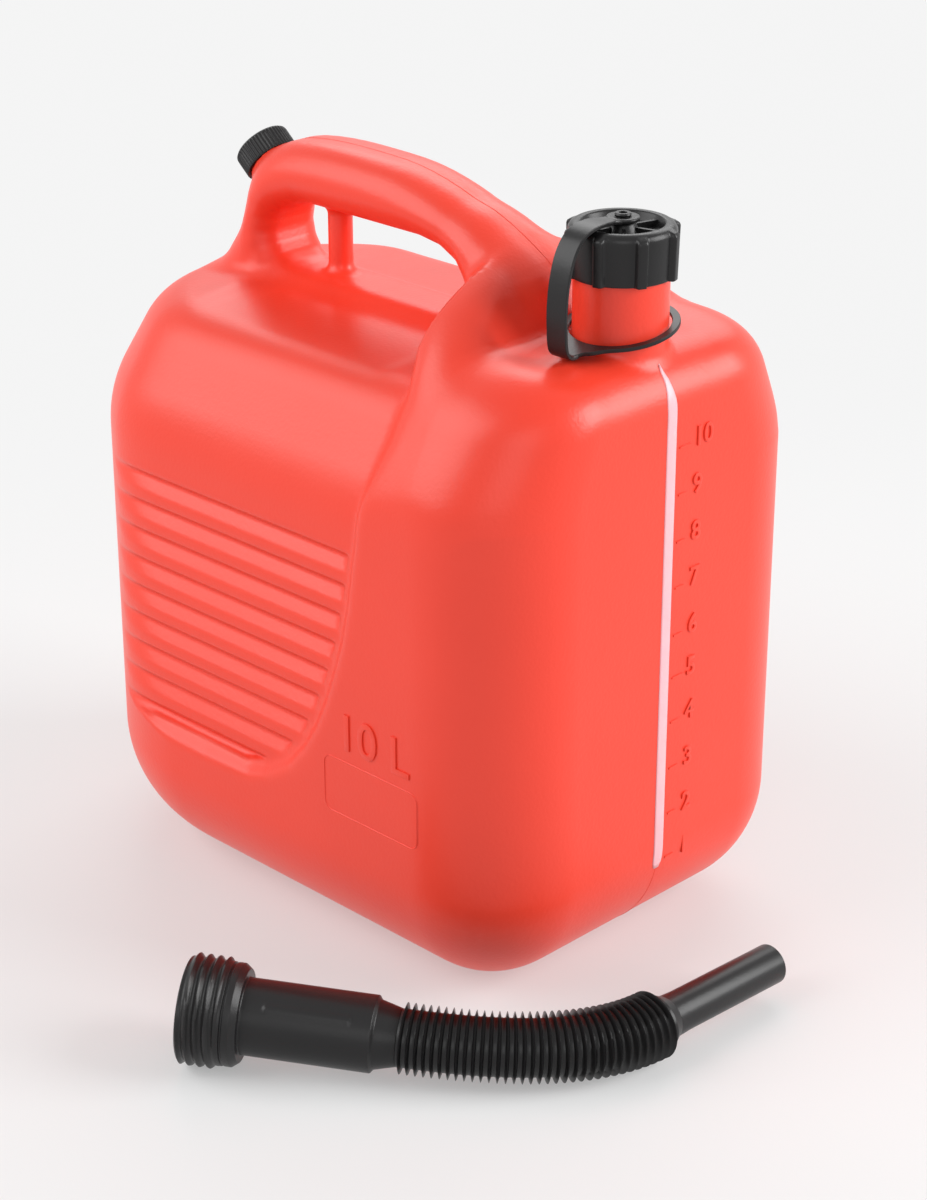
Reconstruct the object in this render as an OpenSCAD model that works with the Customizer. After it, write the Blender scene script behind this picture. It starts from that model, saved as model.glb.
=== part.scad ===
// Ten litre gas can: a blow-moulded body with a hollow grip handle, a screw cap on a strap,
// a slanted vent with its own cap, and a bellows pouring spout that lies on the floor in front.
// Millimetres. The origin is the centre of the base, +X points to the filler neck, +Z is up.

/* [Can body] */
// Length of the body, front face to back
body_length = 290; // [270:1:310]
// Width of the body over its full-width walls
body_width = 196; // [184:1:210]
// Height of the saddle under the grip
saddle_height = 261; // [240:1:280]
// Wall thickness of the moulding
wall = 2.2; // [1.6:0.1:3]
// Rounding of the bottom edge
base_round = 54; // [44:1:58]
// Plan radius of the front corners
front_corner = 47; // [36:1:54]
// Width of the straight part of the rounded back
back_flat = 6; // [2:0.5:12]

/* [Shoulders and side panels] */
// Height of the rear shoulder, from the top of the wall to the saddle
shoulder_drop = 60; // [50:1:68]
// Distance in from the wall to the crest of the rear shoulder
crest_in = 27; // [22:0.5:32]
// Depth of the crest below the saddle
crest_drop = 9; // [7:0.5:12]
// Depth of the flat side panels behind the full-width walls
panel_depth = 5; // [3:0.25:7]
// Height of the foot of the side panels
panel_foot = 70; // [62:1:80]
// Distance from the front face back to the top corner of the side panels
panel_setback = 76; // [70:1:84]
// Length of the sweep that rounds the panels' lower front corner
panel_sweep = 79; // [66:1:88]
// Number of moulded grooves in each side panel
groove_count = 9; // [6:1:10]
// Height from one groove to the next
groove_pitch = 13.6; // [12:0.1:14]
// Depth of a groove
groove_depth = 2.6; // [1.5:0.1:3.5]
// Drop from the saddle to the top groove
groove_drop = 74; // [70:1:80]

/* [Handle] */
// Clear height of the grip hole over the saddle
grip_gap = 29; // [25:0.5:36]
// Height of the grip bar
bar_thick = 28; // [24:0.5:32]
// Width of the grip bar
bar_width = 40; // [34:0.5:46]
// Diameter of the strut between the grip hole and the small hole
strut_d = 11; // [9:0.5:14]
// Distance from the back of the body to the strut
strut_setin = 102; // [96:1:108]

/* [Filler neck] */
// Distance from the front face back to the neck's axis
neck_setback = 28; // [26:0.5:32]
// Rise of the neck's pad above the saddle
pad_rise = 9; // [6:0.5:12]
// Outside diameter of the plain neck
neck_d = 38; // [36:0.5:42]
// Height of the neck above its pad
neck_height = 37.6; // [34:0.2:42]
// Height of the plain neck below the thread
neck_plain = 27; // [24:0.5:29]
// Bore of the neck
neck_bore = 30; // [26:0.5:31]
// Lead of the neck's thread for one turn
neck_lead = 5; // [4:0.25:6]
// Height of a thread ridge out of its wall
ridge = 1.4; // [1:0.1:1.6]
// Play between the two threads of a neck and its cap
thread_play = 0.5; // [0.3:0.05:0.7]

/* [Filler cap] */
// Wall of the cap's skirt
skirt_wall = 1.6; // [1.3:0.1:2.2]
// Height of the cap from skirt edge to rim
cap_height = 20.5; // [19:0.25:24]
// Thickness of the cap's roof
cap_roof = 2.2; // [1.6:0.1:3]
// Number of grip lugs round the skirt
lug_count = 8; // [6:1:10]
// Height of a grip lug out of the skirt
lug_out = 2; // [1:0.1:3]
// Thickness of the disc gasket inside the cap
gasket_t = 2; // [1.5:0.1:3]
// Diameter of the stud that holds the strap's eyelet
stud_d = 5.4; // [4.5:0.1:6.5]

/* [Strap] */
// Width of the strap's band
band_width = 10; // [8:0.25:12]
// Thickness of the strap
strap_t = 1.8; // [1.4:0.1:2.4]
// Width of the loose ring round the neck
ring_width = 3.6; // [3:0.1:5]
// Play of the loose ring round the neck
ring_play = 1.3; // [1:0.1:1.8]
// How far the band bows out from the neck's axis
band_bow = 35; // [32:0.5:38]
// Diameter of the eyelet
eyelet_d = 12.5; // [11:0.25:14]

/* [Vent] */
// Slope of the vent's axis above the level
vent_slope = 40; // [34:1:46]
// Outside diameter of the vent cap
vent_cap_d = 25.4; // [24:0.2:28]
// Height of the vent cap
vent_cap_h = 10; // [9:0.25:12]
// Wall of the vent cap
vent_cap_wall = 1.6; // [1.3:0.1:2]
// Bore of the vent
vent_bore = 9; // [6:0.5:11]
// Lead of the vent's thread for one turn
vent_lead = 3; // [2.5:0.25:3.5]
// Number of knurls round the vent cap
knurl_count = 48; // [36:1:60]

/* [Spout] */
// Diameter over the rings of the spout's collar
collar_d = 44.8; // [44.2:0.2:48]
// Number of rings on the collar
collar_rings = 4; // [3:1:5]
// Length of the collar
collar_length = 24; // [22:0.5:28]
// Outside diameter of the spout's tube
tube_d = 30.8; // [29:0.2:34]
// Length of the tube behind the collar
tube_length = 52; // [44:1:60]
// Length of the shoulder between tube and bellows
shoulder_length = 10; // [8:0.5:14]
// Outside diameter over the bellows ribs
rib_d = 28.4; // [27:0.2:30]
// Outside diameter between the ribs
root_d = 23; // [22:0.2:24]
// Number of ribs
rib_count = 34; // [24:1:40]
// Length of the bellows
bellows_length = 110; // [102:1:120]
// Straight run of the bellows next to the tube
bellows_run = 55; // [46:1:58]
// Angle through which the bellows lies bent
bellows_bend = 51; // [40:1:60]
// Bore of the bellows
bellows_bore = 19; // [16:0.5:20]
// Outside diameter of the nozzle
nozzle_d = 17; // [15:0.2:19]
// Length of the nozzle
nozzle_length = 68; // [60:1:76]
// Wall of the nozzle and the tube
spout_wall = 1.8; // [1.4:0.1:2.4]
// Heading of the spout's tube over the floor
spout_heading = 35.5; // [30:0.5:40]
// Distance of the collar's mouth out from the side wall
spout_aside = 89.5; // [84:0.5:100]
// Distance of the collar's mouth back from the front face
spout_back = 82.5; // [74:0.5:88]

/* [Level stripe] */
// Width of the clear level stripe
stripe_width = 3.2; // [2.4:0.1:5]
// Height at which the stripe starts
stripe_foot = 44; // [30:1:60]

/* [Hidden] */

red_plastic = "#ea4436";
black_plastic = "#1d1d1f";
clear_plastic = "#f3d9cf";
seal_rubber = "#3a3a3c";

// Gap kept between pieces that seat on each other, and overlap where shapes fuse
seat_gap = 0.2;
bite = 0.6;
round_fn = 48;

half_l = body_length / 2;
half_w = body_width / 2;
panel_half = half_w - panel_depth;
panel_skin = groove_depth + wall;
back_corner = half_w - back_flat / 2;
neck_x = half_l - neck_setback;
pad_z = saddle_height + pad_rise;
bar_z = saddle_height + grip_gap + bar_thick / 2;
strut_x = -half_l + strut_setin;

// A point at share t of the way along a cubic curve through its four control points
function cubic(p, t) =
    pow(1 - t, 3) * p[0] + 3 * t * pow(1 - t, 2) * p[1] + 3 * t * t * (1 - t) * p[2] + pow(t, 3) * p[3];
function steps(n) = [for (i = [0:n]) i / n];
function turn(v, a) = [v[0] * cos(a) - v[1] * sin(a), v[0] * sin(a) + v[1] * cos(a)];

// Plan of the body drawn in by a distance
corner_steps = 8;
function corner(x, y, r, from) =
    [for (t = steps(corner_steps)) [x + r * cos(from + 90 * t), y + r * sin(from + 90 * t)]];
function body_plan(inset) =
    let (hx = half_l - inset, hy = half_w - inset)
    let (rf = max(front_corner - inset, 6), rb = max(back_corner - inset, 6))
    concat(
        corner(hx - rf, hy - rf, rf, 0), corner(-hx + rb, hy - rb, rb, 90),
        corner(-hx + rb, -hy + rb, rb, 180), corner(hx - rf, -hy + rf, rf, 270));

// A closed solid skinned over a stack of rings that have equally many points
module skin(rings) {
    n = len(rings[0]);
    m = len(rings);
    sides = [for (j = [0:m - 2], i = [0:n - 1]) let (k = (i + 1) % n)
        each [[j * n + i, (j + 1) * n + i, j * n + k], [j * n + k, (j + 1) * n + i, (j + 1) * n + k]]];
    polyhedron(
        points = [for (r = rings) each r],
        faces = concat(sides, [[for (i = [0:n - 1]) i]], [[for (i = [n - 1:-1:0]) (m - 1) * n + i]]));
}
function lifted(ring, z) = [for (p = ring) [p[0], p[1], z]];

// Heights and insets of the bottom rounding, for a wall drawn in by a distance
function base_rings(shrink) =
    [for (t = steps(6)) let (a = 90 * t, r = base_round - shrink)
        [base_round - r * sin(a), base_round - r * cos(a)]];
// The rear shoulder: up the wall, over the crest and across to the middle of the saddle
crest = [crest_in, saddle_height - crest_drop];
shoulder_low = [
    [0, saddle_height - shoulder_drop], [0, saddle_height - shoulder_drop * 0.72],
    [crest_in * 0.7, crest[1] - crest_drop * 0.7], crest];
saddle_in = panel_half - bar_width / 2;
shoulder_top = [
    crest, [crest_in * 1.3, crest[1] + crest_drop * 0.7],
    [saddle_in * 0.75, saddle_height - 1], [saddle_in, saddle_height]];
function shoulder_rings(shrink) = concat(
    [for (t = steps(5)) let (p = cubic(shoulder_low, t)) p + shrink * [0.9, -0.45]],
    [for (t = [0.3, 0.65, 1]) let (p = cubic(shoulder_top, t)) p + shrink * [0.3, -0.95]]);

// Vessel: base, walls and rear shoulder in one skin, with the flat panels cut back into its sides
wall_top = saddle_height - shoulder_drop;
roof_z = pad_z - 58;
panel_top_x = half_l - panel_setback;
function panel_edge(z) =
    let (share = min((roof_z - z) / (roof_z - panel_foot), 1))
    panel_top_x - panel_sweep * (1 - sqrt(1 - share * share));
module vessel(shrink, limit) {
    difference() {
        skin([for (r = concat(base_rings(shrink), shoulder_rings(shrink))) lifted(body_plan(r[0]), r[1])]);
        for (s = [0, 1])
            mirror([0, s, 0])
                translate([0, limit, 0])
                rotate([90, 0, 180])
                mirror([1, 0, 0])
                linear_extrude(half_w)
                panel_outline(shrink);
    }
}
module panel_outline(grow) {
    arc = [for (t = steps(10)) let (z = panel_foot + (roof_z - panel_foot) * (1 - cos(90 * t)))
        [panel_edge(z) + grow, z - grow]];
    polygon(concat(
        [[-body_length, panel_foot - grow]], arc,
        [[panel_top_x + grow, saddle_height], [-body_length, saddle_height]]));
}

// Hipped roof of the front block, up to the pad under the neck
front_round = 22;
roof_low = [[0, -58], [0, -46], [18, -30], [34, -15]];
roof_top = [[34, -15], [46, -4], [62, -0.4], [74, 0]];
function roof_ring(p, shrink, corner_r = front_corner) =
    let (z = pad_z + p[1] - shrink * 0.7, over = max(p[1] + front_round, 0))
    let (xf = half_l - shrink - (front_round - sqrt(front_round * front_round - over * over)))
    let (xr = panel_top_x - bite - 0.4 * (p[1] + 58) + 1.35 * shrink)
    let (hy = half_w - p[0] - shrink, rc = min(corner_r - shrink, hy - 2))
    concat(
        lifted([[xr, hy], [xr, -hy]], z),
        lifted(corner(xf - rc, -hy + rc, rc, 270), z),
        lifted(corner(xf - rc, hy - rc, rc, 0), z));
module front_roof(shrink) {
    skin(concat(
        [[for (p = roof_ring(roof_low[0], shrink + bite, front_corner + 8)) [p[0], p[1], wall_top - 12]]],
        [for (t = steps(4)) roof_ring(cubic(roof_low, t), shrink)],
        [for (t = [0.35, 0.7, 1]) roof_ring(cubic(roof_top, t), shrink)]));
}

// Flare of the handle's front leg into the roof, rounded at its corners
flare_round = 10;
module leg_flare(shrink) {
    r = flare_round - shrink;
    top_y = bar_width / 2 - flare_round;
    low_y = half_w - flare_round - 6;
    corners = [
        [neck_x - 60, top_y, pad_z + 8], [neck_x - 48, top_y, pad_z + 12],
        [neck_x - 48, low_y, roof_z - 2], [neck_x - 10 - flare_round, low_y, roof_z - 2]];
    hull()
        for (c = corners, s = [-1, 1])
            translate([c[0], s * c[1], c[2]]) sphere(r, $fn = 16);
}

// Handle: a chain of oval sections from the rear leg, along the bar and down the front ramp
// Each is its place, the slope of the path, the thickness in the handle's plane and the width
rear_x = -half_l;
handle_path = [
    [rear_x + 52, saddle_height - 24, 78, 40, bar_width + 14],
    [rear_x + 57, saddle_height, 78, 29, bar_width + 4],
    [rear_x + 62, saddle_height + grip_gap - 8, 66, 26, bar_width + 1],
    [rear_x + 74, bar_z - 6, 40, bar_thick - 1, bar_width],
    [rear_x + 93, bar_z, 6, bar_thick, bar_width],
    [neck_x - 114, bar_z, -4, bar_thick, bar_width],
    [neck_x - 90, bar_z - 4, -20, bar_thick, bar_width],
    [neck_x - 72, bar_z - 12, -34, bar_thick + 2, bar_width + 3],
    [neck_x - 56, bar_z - 25, -44, bar_thick + 8, bar_width + 12],
    [neck_x - 43, pad_z - 10, -50, bar_thick + 14, bar_width + 30]];
function eased(p, i, t) =
    let (a = p[max(i - 1, 0)], b = p[i], c = p[i + 1], d = p[min(i + 2, len(p) - 1)])
    b + 0.5 * t * (c - a + t * (2 * a - 5 * b + 4 * c - d + t * (3 * b - a - 3 * c + d)));
handle_spans = len(handle_path) - 2;
handle_sections = concat(
    [for (i = [0:handle_spans], t = [0, 1 / 3, 2 / 3]) eased(handle_path, i, t)],
    [handle_path[handle_spans + 1]]);
function oval(s, shrink) =
    let (high = s[3] / 2 - shrink, wide = s[4] / 2 - shrink)
    [for (i = [0:17]) let (a = 20 * i)
        [s[0] - high * sin(a) * sin(s[2]), wide * cos(a), s[1] + high * sin(a) * cos(s[2])]];
module handle_bar(shrink) {
    skin([for (s = handle_sections) oval(s, shrink)]);
}
module strut() {
    low = saddle_height - wall / 2;
    high = saddle_height + grip_gap + wall / 2;
    flare = strut_d * 0.45;
    translate([strut_x, 0, low]) cylinder(h = high - low, d = strut_d, $fn = 24);
    translate([strut_x, 0, low]) cylinder(h = flare + wall, d1 = strut_d + 2 * flare, d2 = strut_d, $fn = 24);
    translate([strut_x, 0, high - flare - wall])
        cylinder(h = flare + wall, d1 = strut_d, d2 = strut_d + 2 * flare, $fn = 24);
}

// Screw ridge: a trapezoid swept up a helix, bitten into the wall that carries it
// It starts a little way round, so that its facets never line up with those of the wall
ridge_start = 3.3;
module screw_ridge(r_wall, r_crest, lead, turns, width) {
    n = round(24 * turns);
    inward = r_crest < r_wall ? -1 : 1;
    r_in = r_wall - inward * bite;
    section = [[r_in, -width * 0.5], [r_crest, -width * 0.26], [r_crest, width * 0.26], [r_in, width * 0.5]];
    rings = [for (i = [0:n]) let (a = ridge_start + 360 * turns * i / n)
        [for (p = section) [p[0] * cos(a), p[0] * sin(a), p[1] + lead * turns * i / n]]];
    skin(inward > 0 ? [for (r = rings) [r[3], r[2], r[1], r[0]]] : rings);
}
module at_neck(z) { translate([neck_x, 0, z]) children(); }

neck_top = pad_z + neck_height;
neck_core = neck_d / 2 - ridge - 0.2;
ridge_width = neck_lead * 0.42;
thread_start = pad_z + neck_plain + ridge_width;
thread_turns = 1.5;
module neck_outside() {
    at_neck(pad_z - front_round) cylinder(h = neck_plain + front_round, d = neck_d, $fn = round_fn);
    at_neck(pad_z) cylinder(h = neck_height, r = neck_core, $fn = round_fn);
    at_neck(pad_z - wall) cylinder(h = wall + 2, d1 = neck_d + 14, d2 = neck_d + 7, $fn = round_fn);
    at_neck(thread_start) screw_ridge(neck_core, neck_d / 2 - 0.2, neck_lead, thread_turns, ridge_width);
}

// The vent's axis leans back from the rear corner of the handle; its seat is the neck's top face
vent_ridge = 1;
vent_in = vent_cap_d / 2 - vent_cap_wall;
vent_neck_r = vent_in - thread_play;
vent_core = vent_neck_r - vent_ridge;
vent_seat = vent_cap_h - cap_roof - gasket_t;
vent_rim = [rear_x + 59.5, saddle_height + 40.5];
vent_width = vent_lead * 0.42;
module at_vent(h) {
    translate([vent_rim[0], 0, vent_rim[1]]) rotate([0, vent_slope - 90, 0]) translate([0, 0, h]) children();
}
module vent_outside() {
    at_vent(-bar_thick * 0.6) cylinder(h = bar_thick * 0.6 - seat_gap, r = vent_neck_r, $fn = 48);
    at_vent(-1) cylinder(h = vent_seat + 1, r = vent_core, $fn = 48);
    at_vent(vent_width) screw_ridge(vent_core, vent_neck_r, vent_lead, 1, vent_width);
}

// Outer face of the front wall on the centre line, from the bottom rounding to the pad
function front_profile(shrink) = concat(
    [for (t = steps(4))
        let (low = acos(1 - stripe_foot / base_round), a = low + (90 - low) * t, r = base_round - shrink)
        [half_l - base_round + r * sin(a), base_round - r * cos(a)]],
    [for (t = [0:5]) let (a = 56 * t / 5, r = front_round - shrink)
        [half_l - front_round + r * cos(a), pad_z - front_round + r * sin(a)]]);
module stripe_shape(outside, inside) {
    back = front_profile(inside);
    translate([0, stripe_width / 2, 0])
        rotate([90, 0, 0])
        linear_extrude(stripe_width)
        polygon(concat(front_profile(outside), [for (i = [len(back) - 1:-1:0]) back[i]]));
}

// Each groove has a long bevel that faces up and short sloping ends, from the mould's draft
groove_bevel = 8.5;
groove_draft = 2.5;
module side_grooves() {
    start = -half_l + 40;
    for (i = [0:groove_count - 1], s = [0, 1])
        let (z = saddle_height - groove_drop - groove_pitch * i)
        let (reach = panel_edge(max(z - groove_bevel, panel_foot)) - groove_draft)
        mirror([0, s, 0])
            hull() {
                translate([start, panel_half, z - groove_bevel]) cube([reach - start, 1, groove_bevel]);
                translate([start, panel_half - groove_depth, z - 1.8])
                    cube([reach - groove_draft - start, bite, 1]);
            }
}

module can_outside(shrink, panel_limit) {
    vessel(shrink, panel_limit);
    front_roof(shrink);
    leg_flare(shrink);
    handle_bar(shrink);
}

// The body is one moulding: vessel, hollow handle, neck and vent share one wall and one inside
module can_body() {
    color(red_plastic)
        difference() {
            union() {
                can_outside(0, panel_half);
                strut();
                neck_outside();
                vent_outside();
            }
            can_outside(wall, panel_half - panel_skin);
            at_neck(pad_z - front_round) cylinder(h = neck_height + 2 * front_round, d = neck_bore, $fn = 48);
            at_vent(-bar_thick * 0.5) cylinder(h = bar_thick * 0.5 + vent_seat + 1, d = vent_bore, $fn = 32);
            side_grooves();
            stripe_shape(-1, wall + 1);
        }
}

module level_stripe() {
    color(clear_plastic) stripe_shape(0, wall);
}

// Filler cap
skirt_in = neck_d / 2 + thread_play;
skirt_out = skirt_in + skirt_wall;
cap_top = neck_top + seat_gap + gasket_t + cap_roof;
cap_rim = cap_top + 4;
cap_foot = cap_rim - cap_height;
dish_r = skirt_out - 4;
stud_boss = 4.6;
eyelet_z = cap_rim + 0.4;
cap_ridge_r = neck_core + thread_play;
module grip_lug(a) {
    hull() {
        for (h = [1, cap_height - 3])
            rotate(a) translate([skirt_out + lug_out - 1.4, 0, cap_foot + h]) sphere(1.4, $fn = 12);
        for (h = [0.8, cap_height - 4])
            rotate(a) translate([skirt_out - 0.8, 0, cap_foot + h]) cube([0.6, 4.6, 1.2], center = true);
    }
}
module filler_cap() {
    color(black_plastic)
        at_neck(0)
        union() {
            rotate_extrude($fn = round_fn)
                polygon([
                    [skirt_in, cap_foot], [skirt_out, cap_foot], [skirt_out, cap_rim - 2.4],
                    [skirt_out - 0.8, cap_rim - 0.8], [skirt_out - 2.2, cap_rim], [dish_r + 0.8, cap_rim],
                    [dish_r, cap_rim - 0.8], [dish_r, cap_top], [stud_boss, cap_top],
                    [stud_boss, eyelet_z - seat_gap], [stud_d / 2, eyelet_z - seat_gap],
                    [stud_d / 2, eyelet_z + strap_t + seat_gap],
                    [stud_d / 2 + 1, eyelet_z + strap_t + seat_gap + 0.4],
                    [stud_d / 2 + 0.6, eyelet_z + strap_t + 1.5],
                    [stud_d / 2 - 1, eyelet_z + strap_t + 1.5], [stud_d / 2 - 1.2, eyelet_z - 1],
                    [0, eyelet_z - 1], [0, cap_top - cap_roof], [skirt_in, cap_top - cap_roof]]);
            for (i = [0:lug_count - 1])
                grip_lug(360 * (i + 0.5) / lug_count);
            for (i = [0:5])
                rotate(60 * i + 15) translate([stud_boss - bite, -0.9, cap_top - bite])
                    cube([dish_r - stud_boss + 2 * bite, 1.8, 2.6]);
            translate([0, 0, thread_start + neck_lead / 2])
                screw_ridge(skirt_in, cap_ridge_r, neck_lead, 1, ridge_width);
        }
}
module cap_gasket() {
    color(seal_rubber)
        at_neck(neck_top + seat_gap / 2)
        difference() {
            cylinder(h = gasket_t, r = neck_core - 0.2);
            translate([0, 0, -1]) cylinder(h = gasket_t + 2, r = neck_bore / 2 - 2);
        }
}

// Strap: a loose ring round the neck, a band bowed outside the cap and an eyelet on the stud
ring_in = neck_d / 2 + ring_play;
ring_out = ring_in + ring_width;
ring_z = pad_z + 3.2;
tab_end = ring_out + 6;
band_route = [
    [tab_end, ring_z + strap_t / 2], [band_bow - 1.5, ring_z + 3.5], [band_bow, ring_z + 12],
    [band_bow, ring_z + 24], [band_bow - 3, cap_rim - 6], [skirt_out + lug_out + 4, cap_rim + 0.5],
    [skirt_out - 1, eyelet_z + strap_t / 2 + 0.6], [eyelet_d / 2 - 0.4, eyelet_z + strap_t / 2]];
module strap_ring() {
    color(black_plastic)
        at_neck(ring_z)
        difference() {
            union() {
                cylinder(h = strap_t, r = ring_out);
                translate([-band_width / 2, -tab_end, 0]) cube([band_width, tab_end - ring_in, strap_t]);
            }
            translate([0, 0, -1]) cylinder(h = strap_t + 2, r = ring_in);
        }
}
module strap_band() {
    n = len(band_route) - 1;
    function way(i) = band_route[min(i + 1, n)] - band_route[max(i - 1, 0)];
    function side(i) = let (w = way(i)) [w[1], -w[0]] / norm(w) * strap_t / 2;
    square_end = [for (i = [0:n]) i == 0 ? [0, strap_t / 2] : i == n ? [0, -strap_t / 2] : -side(i)];
    outline = concat(
        [for (i = [0:n]) band_route[i] - square_end[i]],
        [for (i = [n:-1:0]) band_route[i] + square_end[i]]);
    color(black_plastic)
        at_neck(0)
        rotate([90, 0, -90])
        linear_extrude(band_width, center = true)
        polygon(outline);
}
module strap_eyelet() {
    color(black_plastic)
        at_neck(eyelet_z)
        difference() {
            cylinder(h = strap_t, d = eyelet_d);
            translate([0, 0, -1]) cylinder(h = strap_t + 2, r = stud_d / 2 + 0.3);
            translate([-eyelet_d, -eyelet_d - eyelet_d / 2 + 0.4, -1])
                cube([2 * eyelet_d, eyelet_d, strap_t + 2]);
        }
}

module vent_cap() {
    knurl = 0.5;
    outer = vent_cap_d / 2;
    color(black_plastic)
        at_vent(0)
        difference() {
            union() {
                linear_extrude(vent_cap_h - 1)
                    polygon([for (i = [0:2 * knurl_count - 1]) let (a = 180 * i / knurl_count)
                        (outer - knurl * (i % 2)) * [cos(a), sin(a)]]);
                translate([0, 0, vent_cap_h - 1 - bite])
                    cylinder(h = 1 + bite, r1 = outer - knurl - 0.1, r2 = outer - knurl - 1.4);
            }
            translate([0, 0, -1]) cylinder(h = vent_cap_h - cap_roof + 1, r = vent_in);
        }
}
module vent_gasket() {
    color(seal_rubber)
        at_vent(vent_seat + seat_gap / 2)
        difference() {
            cylinder(h = gasket_t - seat_gap, r = vent_core);
            translate([0, 0, -1]) cylinder(h = gasket_t + 2, r = vent_bore / 2);
        }
}

// Spout: the collar and tube run straight and tip down until the bellows meets the floor
ring_r = collar_d / 2;
stem = collar_length + tube_length + shoulder_length;
straight_out = root_d;
spout_dip = asin((ring_r - rib_d / 2) / (stem + bellows_run));
spout_start = [half_l - spout_back, -half_w - spout_aside, ring_r + 0.2];
bend_length = bellows_length - bellows_run - straight_out;
bend_r = bend_length / (bellows_bend * PI / 180);
module at_spout(s) {
    translate(spout_start)
        rotate([0, 0, spout_heading])
        rotate([0, 90 + spout_dip, 0])
        translate([0, 0, s]) children();
}
// Place on the spout's axis, heading and dip, at a distance along the bellows
function on_stem(s) =
    spout_start + s * [cos(spout_dip) * cos(spout_heading), cos(spout_dip) * sin(spout_heading), -sin(spout_dip)];
bend_from = on_stem(stem + bellows_run);
function in_bend(a) =
    let (c = turn([0, bend_r], spout_heading), v = turn([0, -bend_r], spout_heading + a))
    bend_from + [c[0] + v[0], c[1] + v[1], 0];
nozzle_heading = spout_heading + bellows_bend;
bend_to = in_bend(bellows_bend);
function on_bellows(s) =
    s <= bellows_run ? [on_stem(stem + s), spout_heading, spout_dip]
    : s <= bellows_run + bend_length
        ? let (a = bellows_bend * (s - bellows_run) / bend_length) [in_bend(a), spout_heading + a, 0]
    : let (rest = s - bellows_run - bend_length)
        [bend_to + rest * [cos(nozzle_heading), sin(nozzle_heading), 0], nozzle_heading, 0];
function bellows_ring(s, r) =
    let (at = on_bellows(s), h = at[1], d = at[2])
    [for (i = [0:15]) let (a = 22.5 * i, u = r * cos(a), v = r * sin(a))
        at[0] + u * [-sin(h), cos(h), 0] + v * [sin(d) * cos(h), sin(d) * sin(h), cos(d)]];

socket_depth = 15.5;
seal_r = skirt_in - 1;
tube_bore = tube_d / 2 - spout_wall - 1;
module spout_collar() {
    pitch = (collar_length - 7.5) / collar_rings;
    valley = ring_r - 1.5;
    rings = [for (i = [0:collar_rings - 1]) let (z = pitch * i) each [
        [valley, z + (i == 0 ? 0 : 0.15)], [ring_r, z + pitch * 0.3],
        [ring_r, z + pitch * 0.7], [valley, z + pitch * 0.95]]];
    tube_r = tube_d / 2;
    color(black_plastic)
        at_spout(0)
        rotate_extrude()
        polygon(concat(
            [[skirt_in, 0]], rings,
            [[ring_r - 1.9, collar_length - 7], [ring_r - 1.9, collar_length - 2],
             [ring_r - 3.4, collar_length], [tube_r, collar_length],
             [tube_r, stem - shoulder_length], [tube_r - 1, stem - shoulder_length + 1.6],
             [root_d / 2, stem], [bellows_bore / 2, stem],
             [tube_bore, stem - shoulder_length], [tube_bore, socket_depth + gasket_t],
             [seal_r, socket_depth + gasket_t], [seal_r, socket_depth], [skirt_in, socket_depth]]));
}
module spout_gasket() {
    color(seal_rubber)
        at_spout(socket_depth)
        difference() {
            cylinder(h = gasket_t, r = seal_r - seat_gap);
            translate([0, 0, -1]) cylinder(h = gasket_t + 2, r = tube_bore + seat_gap);
        }
}
module spout_bellows() {
    pitch = bellows_length / (rib_count + 0.5);
    outer = concat(
        [[0, root_d / 2]],
        [for (i = [0:rib_count - 1]) each [[(i + 0.45) * pitch, rib_d / 2], [(i + 0.95) * pitch, root_d / 2]]],
        [[bellows_length, root_d / 2]]);
    bore = [for (t = steps(24)) [bellows_length * t, bellows_bore / 2]];
    rings = [for (p = concat(outer, [for (i = [len(bore) - 1:-1:0]) bore[i]])) bellows_ring(p[0], p[1])];
    n = 16;
    m = len(rings);
    color(black_plastic)
        polyhedron(
            points = [for (r = rings) each r],
            faces = [for (j = [0:m - 1], i = [0:n - 1]) let (k = (i + 1) % n, up = ((j + 1) % m) * n)
                each [[j * n + i, j * n + k, up + i], [j * n + k, up + k, up + i]]]);
}
module spout_nozzle() {
    end = on_bellows(bellows_length);
    r = nozzle_d / 2;
    color(black_plastic)
        translate(end[0])
        rotate([0, 0, nozzle_heading])
        rotate([0, 90, 0])
        rotate_extrude()
        polygon([
            [bellows_bore / 2, 0], [root_d / 2, 0], [root_d / 2, 1.5], [r + 0.6, 5], [r, 7],
            [r, nozzle_length - 1], [r - 0.8, nozzle_length], [r - spout_wall, nozzle_length],
            [r - spout_wall, 8]]);
}

can_body();
level_stripe();
filler_cap();
cap_gasket();
strap_ring();
strap_band();
strap_eyelet();
vent_cap();
vent_gasket();
spout_collar();
spout_gasket();
spout_bellows();
spout_nozzle();
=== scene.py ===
import math

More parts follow.
